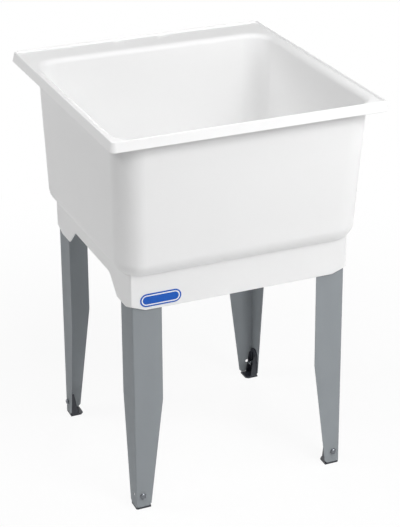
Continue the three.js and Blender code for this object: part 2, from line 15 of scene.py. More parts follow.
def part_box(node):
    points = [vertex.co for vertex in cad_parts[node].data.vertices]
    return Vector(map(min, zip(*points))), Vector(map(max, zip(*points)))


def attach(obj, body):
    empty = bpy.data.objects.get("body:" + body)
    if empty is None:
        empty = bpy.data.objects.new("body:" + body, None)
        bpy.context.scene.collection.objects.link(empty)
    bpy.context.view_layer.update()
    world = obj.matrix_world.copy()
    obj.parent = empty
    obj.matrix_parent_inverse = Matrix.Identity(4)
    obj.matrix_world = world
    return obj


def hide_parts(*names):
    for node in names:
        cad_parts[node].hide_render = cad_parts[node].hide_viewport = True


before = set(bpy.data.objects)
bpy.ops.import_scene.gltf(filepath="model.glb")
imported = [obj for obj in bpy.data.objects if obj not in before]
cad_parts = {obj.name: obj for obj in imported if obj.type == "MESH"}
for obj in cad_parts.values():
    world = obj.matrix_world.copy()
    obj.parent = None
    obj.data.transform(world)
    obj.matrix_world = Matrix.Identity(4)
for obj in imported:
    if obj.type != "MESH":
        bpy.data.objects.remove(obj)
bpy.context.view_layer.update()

bl_info = {
    "name": "Utility laundry sink",
    "version": (1, 0, 0),
    "blender": (4, 5, 0),
    "location": "View3D > Sidebar > Sink",
    "description": "Builds the surfaces and finishes of a moulded laundry sink on sheet-steel legs",
    "category": "Object",
}

MM = 0.001
CORNERS = ("front_left", "front_right", "rear_left", "rear_right")


def linear(hex_colour):
    """An sRGB hex colour as linear RGB: a straight part near black, then the power 2.4."""
    value = np.array([int(hex_colour[i:i + 2], 16) for i in (1, 3, 5)]) / 255
    return tuple(np.where(value <= 0.04045, value / 12.92, ((value + 0.055) / 1.055) ** 2.4).tolist())


# ---------------- sizes and colours

TUB_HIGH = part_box("tub")[1]
LEG_LOW, LEG_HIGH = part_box("leg_front_left")
LABEL_LOW, LABEL_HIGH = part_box("front_label")
DRAIN_Y = sum(corner.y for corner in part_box("drain_tailpiece")) / 2
SKIRT_LOW = 457.5 * MM
LEAN = 2.5 * MM / SKIRT_LOW  # sideways run of a leg for its height
FIT = 0.3 * MM  # room between two pieces


def length(name, text, millimetres):
    return FloatProperty(name=name, description=text, default=millimetres * MM, min=0, subtype="DISTANCE",
                         unit="LENGTH")


def colour(name, text, default):
    return FloatVectorProperty(name=name, description=text, default=linear(default), size=3, min=0, max=1,
                               subtype="COLOR")


def power(name, text, default):
    return FloatProperty(name=name, description=text, default=default, min=0, unit="POWER")


class TubSizes(bpy.types.PropertyGroup):
    flare: length("Lip flare", "How far the lip leans outwards by its lower edge", 5)
    drop: length("Lip drop", "Height of the turned-down lip", 20)
    bead: length("Bead height", "Height of the raised bead above the ledge", 4.5)
    roll: length("Edge roll", "Radius of the rolled edge between ledge and bowl", 12)
    wall: length("Wall", "Thickness of the bowl's walls", 4)
    bowl_corner: length("Bowl corner", "Inside radius of the bowl's upright corners", 47)
    cove: length("Cove", "Inside radius between wall and floor", 34)
    skirt_wall: length("Skirt wall", "Thickness of the skirt", 3)
    arch: length("Arch height", "How far the side and rear skirts are cut up", 37.5)
    crease: length("Crease", "Size of the fillet where the skirt leaves the bowl", 2.2)
    mark_radius: length("Faucet mark", "Radius of the shallow dishes for the faucet holes", 14)
    mark_depth: length("Mark depth", "Depth of those dishes", 2)


class LegSizes(bpy.types.PropertyGroup):
    thickness: length("Sheet", "Thickness of the steel sheet", 1.6)
    bend: length("Bend", "Outside radius of the bend", 3)
    edge: length("Edge", "Width of the softened edges", 0.25)


class FootSizes(bpy.types.PropertyGroup):
    thickness: length("Upright", "Thickness of the upright plate", 3.5)
    base: length("Base", "Thickness of the base plate", 4)
    gusset: length("Gusset", "Thickness of the two side ribs", 2.5)
    edge: length("Edge", "Width of the softened edges", 0.5)


class FastenerSizes(bpy.types.PropertyGroup):
    screw: length("Screw", "Radius of the screw", 3.175)
    pitch: length("Pitch", "Distance from thread to thread", 1.27)
    across: length("Across flats", "Width of head and nut across their flats", 11.1)


class SinkColours(bpy.types.PropertyGroup):
    tub: colour("Tub", "Moulded polypropylene", "#f4f4f4")
    leg: colour("Legs", "Baked enamel on steel", "#989da1")
    foot: colour("Feet", "Moulded nylon", "#262932")
    # The fasteners' colour is darker than plain zinc: a painted dark reflection of the surroundings.
    zinc: colour("Fasteners", "Zinc plate, darkened as a painted dark reflection", "#777a7f")
    stainless: colour("Strainer", "Stainless steel", "#c9cacb")
    rubber: colour("Rubber", "Black nitrile rubber", "#1e1f21")
    pipe: colour("Pipe", "White extruded pipe", "#e9e8e2")
    label: colour("Label", "Printed film", "#0a5cc4")
    label_line: colour("Label line", "Line left white in the print", "#f2f3f6")
    floor: colour("Floor", "Studio floor", "#ffffff")


class StageSettings(bpy.types.PropertyGroup):
    key: power("Key lamp", "Large lamp in front, to the right", 33)
    front: power("Front lamp", "Large lamp in front, to the left", 9.2)
    high: power("High lamp", "Large lamp high in front", 10.3)
    top: power("Top lamp", "Wide lamp overhead", 15)
    side: power("Side lamp", "Large lamp on the left, towards the back", 23.8)
    left: power("Left lamp", "Large lamp on the left", 4.6)
    right: power("Right lamp", "Small lamp near the right", 5.6)
    low: power("Low lamp", "Small lamp low in front", 0.9)
    rear: power("Rear lamp", "Low lamp behind", 20)
    ambient: FloatProperty(name="Ambient", description="Light of the room", default=0.0, min=0)
    white: FloatProperty(name="Background", description="Strength of the white background", default=1, min=0)
    shadow: FloatProperty(name="Shadow share", description="How much of the floor's own light shows",
                          default=0.1, min=0, max=1, subtype="FACTOR")


# ---------------- surfaces

def grid_faces(rows, columns, wrap_rows=False):
    """Quads between neighbouring grid points. The last column joins the first, and so may the last row."""
    index = np.arange(rows * columns).reshape(rows, columns)
    if wrap_rows:
        index = np.vstack([index, index[:1]])
    index = np.hstack([index, index[:, :1]])
    return np.stack([index[:-1, :-1], index[:-1, 1:], index[1:, 1:], index[1:, :-1]], axis=-1).reshape(-1, 4)


def solid(name, part, clean=False):
    """One closed part, its points and faces, as an object: doubles are merged and faces turned outwards."""
    points, faces = part
    mesh = bpy.data.meshes.new(name)
    mesh.from_pydata(np.reshape(points, (-1, 3)).tolist(), [], [list(face) for face in faces])
    shell = bmesh.new()
    shell.from_mesh(mesh)
    bmesh.ops.remove_doubles(shell, verts=shell.verts, dist=1e-6)
    if clean:
        bmesh.ops.dissolve_degenerate(shell, edges=shell.edges, dist=1e-7)
    bmesh.ops.recalc_face_normals(shell, faces=shell.faces)
    shell.to_mesh(mesh)
    shell.free()
    piece = bpy.data.objects.new(name, mesh)
    bpy.context.scene.collection.objects.link(piece)
    return piece


def smooth_piece(name, points, faces):
    """A closed grid as a smooth-shaded object, without the faces that its poles collapse."""
    piece = solid(name, (points, faces.tolist()), clean=True)
    piece.data.shade_smooth()
    return piece


def rounded(corners, radii, steps, guard=0.4 * MM, closed=False):
    """A polyline with arcs for corners. An arc of radius r in a corner of angle a starts r / tan(a/2)
    from the corner and turns about the point r / sin(a/2) along its bisector. A guard point beside
    each end keeps the flat next to it flat in shading."""
    corners = np.asarray(corners, float)
    count = len(corners)
    line = [] if closed else [corners[0]]
    for i in range(count) if closed else range(1, count - 1):
        corner, radius = corners[i], radii[i]
        if radius <= 0:
            line.append(corner)
            continue
        ways = corners[(i - 1) % count] - corner, corners[(i + 1) % count] - corner
        spans = [np.linalg.norm(way) for way in ways]
        before, after = ways[0] / spans[0], ways[1] / spans[1]
        angle = math.acos(np.clip(before @ after, -1, 1))
        reach = radius / math.tan(angle / 2)
        middle = corner + (before + after) / np.linalg.norm(before + after) * radius / math.sin(angle / 2)
        out, back = corner + before * reach - middle, corner + after * reach - middle
        turn = np.linspace(0, 1, steps + 1)[:, None]
        sweep = math.pi - angle
        arc = middle + (np.sin((1 - turn) * sweep) * out + np.sin(turn * sweep) * back) / math.sin(sweep)
        if reach + guard < spans[0] / 2:
            line.append(corner + before * (reach + guard))
        line.extend(arc)
        if reach + guard < spans[1] / 2:
            line.append(corner + after * (reach + guard))
    return np.array(line if closed else [*line, corners[-1]])


def section(corners, radii, steps=4, **options):
    """A rounded polyline from corners and radii in millimetres."""
    return rounded(np.array(corners) * MM, np.array(radii) * MM, steps, **options)


def circle(angle):
    """Points of a circle of radius 1 at some angles."""
    return np.column_stack([np.cos(angle), np.sin(angle)])


def turned(profile, centre=(0, 0, 0), sides=48, wrap=False, swell=None):
    """A surface of revolution: at angle a a profile point (r, h) lies at (r cos a, r sin a, h) from
    the centre. swell(a, r, h) may change the radius."""
    angle = np.linspace(0, 2 * math.pi, sides, endpoint=False)[None, :]
    radius, height = profile[:, :1] + 0 * angle, profile[:, 1:] + 0 * angle
    if swell:
        radius = swell(angle, radius, height)
    points = np.stack([radius * np.cos(angle), radius * np.sin(angle), height], axis=-1) + np.asarray(centre)
    return points, grid_faces(len(profile), sides, wrap_rows=wrap)


def capped(rows):
    """Outlines with as many points each, joined in turn. One face closes each end."""
    rows = np.array(rows)
    levels, count = rows.shape[:2]
    ends = [list(range(count))[::-1], list(range((levels - 1) * count, levels * count))]
    return rows, grid_faces(levels, count).tolist() + ends


def prism(outline, low, high, axis):
    """An outline carried straight along one axis."""
    points = np.zeros((2, len(outline), 3))
    points[:, :, [i for i in range(3) if i != axis]] = outline
    points[0, :, axis], points[1, :, axis] = low, high
    return capped(points)


def combine(piece, others, operation):
    """Joins other solids to a piece or cuts them from it, and keeps the result as its mesh."""
    for other in others:
        modifier = piece.modifiers.new("combine", "BOOLEAN")
        modifier.object, modifier.operation, modifier.solver = other, operation, "EXACT"
        graph = bpy.context.evaluated_depsgraph_get()
        mesh = bpy.data.meshes.new_from_object(piece.evaluated_get(graph))
        piece.modifiers.clear()
        old, piece.data = piece.data, mesh
        bpy.data.meshes.remove(old)
        spare = other.data
        bpy.data.objects.remove(other)
        bpy.data.meshes.remove(spare)


def soften(piece, width):
    """Rounds the sharp edges of a rigid piece, and keeps its flats flat in shading."""
    piece.data.shade_smooth()
    bevel = piece.modifiers.new("soft edges", "BEVEL")
    bevel.width, bevel.segments = width, 2
    bevel.limit_method, bevel.angle_limit = "ANGLE", math.radians(35)
    bevel.use_clamp_overlap = True
    bevel.harden_normals = True


def mirror_to(points, corner, level, diagonal=False):
    """Carries points made for a corner at the origin, arms along +X and +Y, to one corner of the sink.
    The leg leans inwards, both ways, by LEAN times the height above its end: `level` is that height,
    one for a rigid piece or one for each point of the leg."""
    low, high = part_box("leg_" + corner)
    left, front = corner.endswith("left"), corner.startswith("front")
    origin = (low.x if left else high.x, low.y if front else high.y, 0)
    if diagonal:
        points = points[..., [1, 0, 2]]
    points = points + (level - LEG_LOW.z) * np.array((LEAN, LEAN, 0))
    return points * (1 if left else -1, 1 if front else -1, 1) + np.array(origin)


def finish_piece(piece, material, body, slot, *nodes):
    """Gives a piece its material and its body, and hides the nodes that it stands for. The slot is not used.
    """
    piece.data.materials.append(material)
    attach(piece, body)
    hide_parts(*nodes)


# ---------------- the tub

CORNER_STEPS = 12
# Places along a skirt wall, from its corner, where its lower edge bends, and a spread in between.
BENDS = np.array([4.2, 9, 16, 23, 28, 31, 34, 40, 50, 60, 68, 74, 77, 80, 83, 87, 94, 102, 108, 112, 116, 120,
                  124, 129, 137, 150, 170, 195, 218]) * MM
# Places along each half of the rear side, as shares of it, across the faucet marks.
MARK_SHARES = np.concatenate([[0.03, 0.06, 0.09, 0.11], np.arange(0.12, 0.275, 0.0075)])

COVE_START = 567 * MM  # height at which the bowl's walls turn into the cove
LEDGE_SIDE, LEDGE_FRONT, LEDGE_REAR = 21.5 * MM, 18 * MM, 77 * MM  # from the rim to the bowl's upper edge
WALL_LEANS = np.radians((1.8, 4.9, 1.6))  # of the sides, the front and the rear
RIM_CORNER = 8 * MM
SKIRT_CORNER, SKIRT_CORNER_IN = 3 * MM, 1 * MM
BEVEL_RISE, BEVEL_RUN = 11.5 * MM, 31 * MM  # the skirt's lower edge beside each corner
RAMP_START, RAMP_END = 80 * MM, 120 * MM  # and where it climbs to the arch
MARK_X, MARK_REAR = 50.8 * MM, 19 * MM  # faucet marks, from the middle and from the rear lip
DISH_SLOPE = 0.35  # share of a mark's radius that its sloping edge takes
LIP_END, LIP_END_UNDER = 5.9 * MM, 5.5 * MM  # where the lip ends on the ledge, and under it
# In millimetres: height of the skirt's rounded lower edge, heights and radii of the drain recess, the
# outlet's end with its bore and outside, and the fall of the bowl's floor to the recess, underneath.
HEM = 7
RECESS_FLOOR, RECESS_TOP, RECESS_UNDER = 507, 522.3, 518.3
RECESS_EDGE, RECESS_EDGE_UNDER = 56, 60
OUTLET_END, BORE, OUTLET = 467, 17.5, 24
FLOOR_FALL = 10.7


class Outlines:
    """Rounded rectangles round the tub, all with the same columns, so that any two of them can be
    joined: four quarter circles, and between them points at fixed shares of each straight side."""

    def __init__(self, sizes):
        self.sizes = sizes
        self.height = TUB_HIGH.z
        self.rim_half = TUB_HIGH.x - sizes.flare
        self.rim_depth = TUB_HIGH.y - sizes.flare
        self.ledge = self.height - sizes.bead
        self.bowl_top = self.ledge - sizes.roll
        corner, rear = LEG_LOW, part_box("leg_rear_left")[1]
        # The legs' boxes reach down to their ends, which stand out beyond the skirt's lower edge.
        grow = sizes.skirt_wall + FIT - LEAN * (SKIRT_LOW - LEG_LOW.z)
        self.skirt_half, self.skirt_front, self.skirt_rear = -corner.x + grow, corner.y - grow, rear.y + grow
        side, width = self._side(self.skirt_rear - self.skirt_front), 2 * self.skirt_half
        self.shares = [side, self._side(width, MARK_SHARES), side, self._side(width)]
        self.base = self.bowl_box(COVE_START)
        edge = self.at(*self.base[:3], self.base[3], inset=sizes.cove)
        self.angles = np.arctan2(edge[:, 1] - DRAIN_Y, edge[:, 0])

    @staticmethod
    def _side(width, middle=None):
        """Shares along a straight side: the bends from both ends, and the marks about its middle."""
        bends = BENDS if middle is None else BENDS[BENDS < 150 * MM]
        near = 1 - (bends - SKIRT_CORNER) / (width / 2 - SKIRT_CORNER)
        half = np.sort(np.concatenate([near[near > 0.005], [] if middle is None else middle]))
        return (np.concatenate([-half[::-1], [0], half]) + 1) / 2

    def at(self, half, front, rear, radius, inset=0.0):
        """Points of one rounded rectangle, `inset` inside it, counter-clockwise from above."""
        half, front, rear = half - inset, front + inset, rear - inset
        radius = max(radius - inset, 1 * MM)
        centres = [(half - radius, front + radius), (half - radius, rear - radius),
                   (radius - half, rear - radius), (radius - half, front + radius)]
        arcs = []
        for i, centre in enumerate(centres):
            angle = (i - 1) * math.pi / 2 + np.linspace(0, math.pi / 2, CORNER_STEPS + 1)
            arcs.append(np.array(centre) + radius * circle(angle))
        pieces = []
        for i, arc in enumerate(arcs):
            share = self.shares[i][:, None]
            pieces += [arc, arc[-1] * (1 - share) + arcs[(i + 1) % 4][0] * share]
        return np.vstack(pieces)

    def bowl_box(self, height):
        """Half width, front, rear and corner radius of the bowl's inner wall at a height. The walls
        lean inwards going down, each by its own angle."""
        side, front, rear = ((self.bowl_top - height) * math.tan(lean) for lean in WALL_LEANS)
        return (self.rim_half - LEDGE_SIDE - side, -self.rim_depth + LEDGE_FRONT + front,
                self.rim_depth - LEDGE_REAR - rear, self.sizes.bowl_corner)

    def bowl(self, height, inset=0.0):
        return self.at(*self.bowl_box(height), inset=inset)

    def rim(self, inset):
        return self.at(self.rim_half, -self.rim_depth, self.rim_depth, RIM_CORNER, inset=inset)

    def skirt(self, inset, radius):
        return self.at(self.skirt_half - inset, self.skirt_front + inset, self.skirt_rear - inset, radius)

    def circle(self, radius):
        return np.array((0, DRAIN_Y)) + radius * circle(self.angles)

    def cove_height(self, plan):
        """Height of the bowl's underside: a quarter circle of radius R = cove + wall below the walls.
        A point i inside the inner wall's outline lies sqrt(R^2 - (R - i - wall)^2) below its start."""
        half, front, rear, corner = self.base
        x = np.abs(plan[:, 0]) - (half - corner)
        y = np.maximum(front + corner - plan[:, 1], plan[:, 1] - (rear - corner))
        beyond = np.where((x > 0) & (y > 0), np.hypot(x, y), np.maximum(x, y))
        reach = self.sizes.cove + self.sizes.wall
        side = np.clip(reach - (corner - beyond) - self.sizes.wall, 0, reach)
        return COVE_START - np.sqrt(reach ** 2 - side ** 2)

    def skirt_edge(self):
        """Height of the skirt's lower edge in each column: a bevel beside each corner, and at the sides
        and the rear a ramp up to the arch. A kink of half width w is a parabola (d + w)^2 / 4w, so that
        nothing is sharp."""
        plan = self.skirt(0, SKIRT_CORNER)
        x, y = plan[:, 0], plan[:, 1]
        along_x = self.skirt_half - np.abs(x)
        along_y = np.minimum(y - self.skirt_front, self.skirt_rear - y)
        on_side = along_x < 1 * MM
        along = np.where(along_x < along_y, along_y, along_x)

        def kink(distance, width):
            return np.where(distance < -width, 0, np.where(distance > width, distance,
                            (distance + width) ** 2 / (4 * width)))
        bevel = BEVEL_RISE / BEVEL_RUN * kink(BEVEL_RUN - along, 1.5 * MM)
        ramp = self.sizes.arch / (RAMP_END - RAMP_START) * (kink(along - RAMP_START, 2.5 * MM)
                                                            - kink(along - RAMP_END, 7 * MM))
        front_wall = (y < self.skirt_front + 4 * MM) & ~on_side
        return SKIRT_LOW + bevel + np.where(front_wall, 0, ramp)


def tub_rows(shape):
    """The tub's profile as a closed loop of outlines: from the outlet's end out under the floor, down
    inside the skirt and up outside it, up the wall, over the rim and down inside to the outlet."""
    sizes = shape.sizes
    rows = []

    def row(plan, height):
        rows.append(np.column_stack([plan, np.broadcast_to(height, len(plan))]))

    def between(start, end, shares, heights):
        for share, height in zip(shares, heights):
            row(start * (1 - share) + end * share, height)

    def crease(face, face_height, out, out_height, down_first):
        """A quadratic curve from the face below its top to the cove beside it, about the crease."""
        for share in np.linspace(0, 1, 6) if down_first else np.linspace(1, 0, 6):
            low, mid, high = (1 - share) ** 2, 2 * share * (1 - share), share ** 2
            row(face * (low + mid) + out * high, (face_height - sizes.crease) * low + face_height * mid
                + out_height * high)

    # Outlet and the underside of the drain recess
    middle = (BORE + OUTLET) / 2
    under = section([(middle, OUTLET_END), (OUTLET, OUTLET_END), (OUTLET, 503), (37, 503), (40, 517),
                     (RECESS_EDGE_UNDER, RECESS_UNDER)], [0, 0.8, 3, 2, 4, 0])
    for radius, height in under:
        row(shape.circle(radius), height)
    floor_edge = shape.bowl(COVE_START, sizes.cove)
    share = np.linspace(0, 1, 6)[1:]
    between(shape.circle(RECESS_EDGE_UNDER * MM), floor_edge, share, (RECESS_UNDER + FLOOR_FALL * share) * MM)

    # Out along the cove, down inside the skirt, round its lower edge and up outside
    inner, outer = shape.skirt(sizes.skirt_wall, SKIRT_CORNER_IN), shape.skirt(0, SKIRT_CORNER)
    inner_out = shape.skirt(sizes.skirt_wall + sizes.crease, SKIRT_CORNER_IN)
    for step in np.linspace(0, 1, 7)[1:-1]:
        plan = floor_edge * (1 - step) + inner_out * step
        row(plan, shape.cove_height(plan))
    inner_top = shape.cove_height(inner)
    crease(inner, inner_top, inner_out, shape.cove_height(inner_out), False)
    edge = shape.skirt_edge()
    hem = section([(3, HEM), (3, 0), (0, 0), (0, HEM)], [0, 1.1, 1.1, 0], 3)
    for step in (0.02, 0.5):
        row(inner, (inner_top - sizes.crease) * (1 - step) + (edge + HEM * MM) * step)
    for inset, rise in hem:
        row(outer + (inner - outer) * inset / sizes.skirt_wall, edge + rise)
    outer_top = shape.cove_height(outer)
    for step in (0.5, 0.98):
        row(outer, (edge + HEM * MM) * (1 - step) + (outer_top - sizes.crease) * step)
    outer_out = shape.skirt(-sizes.crease, SKIRT_CORNER + sizes.crease)
    crease(outer, outer_top, outer_out, shape.cove_height(outer_out), True)

    # The cove outside, and the wall up to the ledge
    cove_top = shape.bowl(COVE_START, -sizes.wall)
    turn = math.radians(60)
    for step in np.linspace(0, 1, 13)[1:]:
        share = 1 - (1 - math.cos(turn * (1 - step))) / (1 - math.cos(turn))
        plan = outer_out * (1 - share) + cove_top * share
        row(plan, shape.cove_height(plan) if step < 1 else COVE_START)
    for height in np.linspace(COVE_START, shape.bowl_top, 7)[1:]:
        row(shape.bowl(height, -sizes.wall), height)
    inner_roll = sizes.roll - sizes.wall
    for angle in np.linspace(0, math.pi / 2, 6)[1:]:
        row(shape.bowl(shape.bowl_top, -sizes.wall - inner_roll * (1 - math.cos(angle))),
            shape.bowl_top + inner_roll * math.sin(angle))

    # Under the ledge, round the lip and over the bead
    under_ledge = shape.ledge - sizes.wall
    roll_top = shape.bowl(shape.bowl_top, -sizes.roll)
    between(roll_top, shape.rim(LIP_END_UNDER), (0.33, 0.67), (under_ledge,) * 2)
    top, bottom = shape.height, shape.height - sizes.drop
    lip = rounded([(LIP_END_UNDER, under_ledge), (1.375 * MM, under_ledge), (-1.5 * MM, bottom),
                   (-sizes.flare, bottom), (0, top), (3.5 * MM, top), (5 * MM, shape.ledge),
                   (LIP_END, shape.ledge)],
                  np.array([0, 3, 1.2, 1.2, 2.5, 1.2, 0.8, 0]) * MM, 5)
    for inset, height in lip:
        row(shape.rim(inset), height)

    # The ledge with its two faucet marks, each a dish whose share of full depth is t t (3 - 2t), where t
    # is (1 - d/R) / slope held between 0 and 1
    marks_y = shape.rim_depth - MARK_REAR
    for share in np.concatenate([np.arange(0.03, 0.52, 0.03), np.linspace(0.52, 1, 7)[1:]]):
        plan = shape.rim(LIP_END) * (1 - share) + roll_top * share
        away = np.hypot(np.abs(plan[:, 0]) - MARK_X, plan[:, 1] - marks_y) / sizes.mark_radius
        sunk = np.clip((1 - away) / DISH_SLOPE, 0, 1)
        row(plan, shape.ledge - sizes.mark_depth * sunk ** 2 * (3 - 2 * sunk))

    # Down inside: the rolled edge, the wall, the cove, the floor, the drain recess and the bore
    for angle in np.linspace(math.pi / 2, 0, 11)[1:]:
        row(shape.bowl(shape.bowl_top, -sizes.roll * (1 - math.cos(angle))),
            shape.bowl_top + sizes.roll * math.sin(angle))
    for height in np.linspace(shape.bowl_top, COVE_START, 7)[1:]:
        row(shape.bowl(height), height)
    for angle in np.linspace(0, math.pi / 2, 13)[1:]:
        row(shape.bowl(COVE_START, sizes.cove * (1 - math.cos(angle))),
            COVE_START - sizes.cove * math.sin(angle))
    floor_height = COVE_START - sizes.cove
    share = np.linspace(0, 1, 8)[1:]
    between(floor_edge, shape.circle(RECESS_EDGE * MM), share,
            floor_height * (1 - share) + RECESS_TOP * MM * share)
    recess = section([(RECESS_EDGE, RECESS_TOP), (36, 521), (33, RECESS_FLOOR), (BORE, RECESS_FLOOR),
                      (BORE, OUTLET_END), (middle, OUTLET_END)], [0, 3, 1.5, 1, 0.6, 0])
    for radius, height in recess[1:-1]:
        row(shape.circle(radius), height)
    return np.array(rows)


def socket_part(shape, corner):
    """The rib that holds a leg's top inside one skirt corner: an angle with its ends turned back to
    the skirt, carried up into the underside of the bowl."""
    near, far, reach, end, cut, skirt = 2.3, 5.3, 66.2, 63.2, 1.4, -1.8
    half = [(end, skirt), (reach, skirt), (reach, far), (far + cut, far)]
    back = [(near + cut, near), (end, near)]
    outline = np.array(half + [(y, x) for x, y in half[::-1]] + [(y, x) for x, y in back[::-1]] + back) * MM
    plan = mirror_to(np.column_stack([outline, np.zeros(len(outline))]), corner, SKIRT_LOW)[:, :2]
    return prism(plan, 474 * MM, shape.cove_height(plan) + 1.5 * MM, 2)


class SINK_OT_tub(bpy.types.Operator):
    """Builds the one-piece tub: rim, ledge, bowl, drain recess, skirt and leg sockets"""
    bl_idname = "sink.tub"
    bl_label = "Tub"

    def execute(self, context):
        shape = Outlines(context.scene.sink_tub)
        rows = tub_rows(shape)
        piece = smooth_piece("moulded_tub", rows, grid_faces(*rows.shape[:2], wrap_rows=True))
        sockets = [solid("socket", socket_part(shape, corner)) for corner in CORNERS]
        with context.temp_override(active_object=piece, selected_editable_objects=[piece, *sockets]):
            bpy.ops.object.join()
        finish_piece(piece, moulded_polypropylene(context), "sink", "tub_plastic", "tub")
        return {"FINISHED"}


# ---------------- label

class SINK_OT_label(bpy.types.Operator):
    """Builds the plain printed film on the front of the skirt"""
    bl_idname = "sink.label"
    bl_label = "Label"

    def execute(self, context):
        middle = (LABEL_LOW + LABEL_HIGH) / 2
        half_width, half_height = (LABEL_HIGH.x - LABEL_LOW.x) / 2, (LABEL_HIGH.z - LABEL_LOW.z) / 2
        back, face = LABEL_HIGH.y, LABEL_LOW.y
        line_out, line_in, steps = 3 * MM, 5.4 * MM, 12

        def ring(inset, y):
            """A rounded rectangle with half round ends, `inset` inside the film's edge."""
            radius = half_height - inset
            end = radius * circle(np.linspace(-math.pi / 2, math.pi / 2, steps + 1))
            end[:, 0] += half_width - half_height
            plan = np.vstack([end, -end])
            return np.column_stack([middle.x + plan[:, 0], np.full(len(plan), y), middle.z + plan[:, 1]])
        piece = solid("plain_label", capped([ring(inset, y) for inset, y in (
            (0, back), (0, face + 0.15 * MM), (0.05 * MM, face + 0.05 * MM), (0.15 * MM, face),
            (line_out, face), (line_in, face), (half_height - 0.5 * MM, face))]))
        line = piece.data.attributes.new("printed", "FLOAT", "FACE")
        centres = np.zeros(len(piece.data.polygons) * 3)
        piece.data.polygons.foreach_get("center", centres)
        centres = centres.reshape(-1, 3) - np.array(middle)
        along = np.maximum(np.abs(centres[:, 0]) - (half_width - half_height), 0)
        depth = half_height - np.hypot(along, centres[:, 2])
        line.data.foreach_set("value", np.where((depth > line_out) & (depth < line_in), 0.0, 1.0))
        finish_piece(piece, printed_film(context), "sink", "label_film", "front_label")
        return {"FINISHED"}


# ---------------- legs and feet

LEG_TAPER = np.array([(4.6, 28), (10.1, 33.5), (250, 62.5), (529, 62.5)]) * MM  # height and arm's width


def leg_part(sizes):
    """An angle of bent sheet: two arms with a round bend between them, carried up its height. Both
    arms narrow below 250 mm and end in cut corners."""
    sheet, bend = sizes.thickness, sizes.bend
    angle = np.linspace(0, math.pi / 2, 7)

    def arc(radius):
        return np.column_stack([bend - radius * np.sin(angle), bend - radius * np.cos(angle)])
    outside, inside = arc(bend), arc(bend - sheet)[::-1]
    low, high = LEG_LOW.z, LEG_HIGH.z
    heights = np.array([low, low + 5.5 * MM, *np.array([60, 120, 185, 250, 340, 430]) * MM, high])
    widths = np.interp(heights, *LEG_TAPER.T)
    rows = []
    for height, width in zip(heights, widths):
        plan = np.vstack([[(width, 0)], outside, [(0, width), (sheet, width)], inside, [(width, sheet)]])
        rows.append(np.column_stack([plan, np.full(len(plan), height)]))
    return capped(rows)


def round_bar(radius, start, end, centre, axis, sides=32):
    """A round bar along one axis, to cut a hole with."""
    angle = np.linspace(0, 2 * math.pi, sides, endpoint=False)
    return prism(np.array(centre) + radius * circle(angle), start, end, axis)


SCREW_X, SCREW_Z, HOLE = 14.5 * MM, 31 * MM, 3.575 * MM
FOOT_LEVEL = 34.5 * MM  # height at which a foot and its fasteners follow the lean
FOOT_TRAVEL = 25 * MM


class SINK_OT_legs(bpy.types.Operator):
    """Builds the four sheet-steel angle legs with their screw holes"""
    bl_idname = "sink.legs"
    bl_label = "Legs"

    def execute(self, context):
        sizes = context.scene.sink_leg
        material = baked_enamel(context)
        for corner in CORNERS:
            points, faces = leg_part(sizes)
            piece = solid("angle_leg_" + corner, (mirror_to(points, corner, points[..., 2:]), faces))
            holes = []
            for axis in (1, 0):
                bar, bar_faces = round_bar(HOLE, -MM, 3 * MM, (SCREW_X, SCREW_Z), axis)
                holes.append(solid("hole", (mirror_to(bar, corner, FOOT_LEVEL), bar_faces)))
            combine(piece, holes, "DIFFERENCE")
            soften(piece, sizes.edge)
            finish_piece(piece, material, "sink", "leg_steel", "leg_" + corner)
        return {"FINISHED"}


def foot_parts(sizes):
    """A levelling foot against the inside of the arm along +X: an upright with a round top, a base
    with cut corners, and a rib at each end of the upright. The upright's slot is cut afterwards."""
    side, end, start, top, corner = (v * MM for v in (3.3, 32.3, 1.9, 69, 13))
    back = start + sizes.thickness
    plate = rounded([(side, 0), (side, top), (end, top), (end, 0)], [0, corner, corner, 0], 10, guard=1)
    deep = start + 28 * MM
    base = np.array([(2.5 * MM, 0), (end, 0), (end, deep - 6 * MM), (end - 6 * MM, deep), (0, deep),
                     (0, 2.5 * MM)])
    rib = np.array([(back - MM, sizes.base - MM), (back + 12.5 * MM, sizes.base - MM),
                    (back + 4 * MM, top - corner), (back - MM, top - corner)])
    return [prism(plate, start, back, 1), prism(base, 0, sizes.base, 2),
            prism(rib, side, side + sizes.gusset, 0), prism(rib, end - sizes.gusset, end, 0)]


class SINK_OT_feet(bpy.types.Operator):
    """Builds the four sliding levelling feet"""
    bl_idname = "sink.feet"
    bl_label = "Levelling feet"

    def execute(self, context):
        sizes = context.scene.sink_foot
        material = moulded_nylon(context)
        angle = np.linspace(0, math.pi, 13)
        bottom = np.array((SCREW_X, SCREW_Z)) - HOLE * circle(angle)
        upper = np.array((SCREW_X, SCREW_Z + FOOT_TRAVEL)) + HOLE * circle(angle)
        slot = prism(np.vstack([bottom, upper]), 1 * MM, 8 * MM, 1)
        for corner in CORNERS:
            diagonal = corner.startswith("rear")
            piece, *others = [solid("part", (mirror_to(points, corner, FOOT_LEVEL, diagonal), faces))
                              for points, faces in foot_parts(sizes)]
            combine(piece, others, "UNION")
            cutter = solid("slot", (mirror_to(slot[0], corner, FOOT_LEVEL, diagonal), slot[1]))
            combine(piece, [cutter], "DIFFERENCE")
            piece.name = "levelling_foot_" + corner
            soften(piece, sizes.edge)
            finish_piece(piece, material, corner + "_foot", "foot_plastic", "foot_" + corner)
        return {"FINISHED"}


def hexagon(angle, across):
    """Radius of a hexagon of a width across its flats: half that width over the cosine of the angle
    to the nearest flat's middle."""
    return across / 2 / np.cos((angle + math.pi / 6) % (math.pi / 3) - math.pi / 6)


def along_y(points, corner):
    """Turns a part made along +Z about the origin to lie along +Y at the screw's place, and mirrors it."""
    points = points[..., [0, 2, 1]] + np.array([SCREW_X, 0, SCREW_Z])
    return mirror_to(points, corner, FOOT_LEVEL, corner.startswith("rear"))


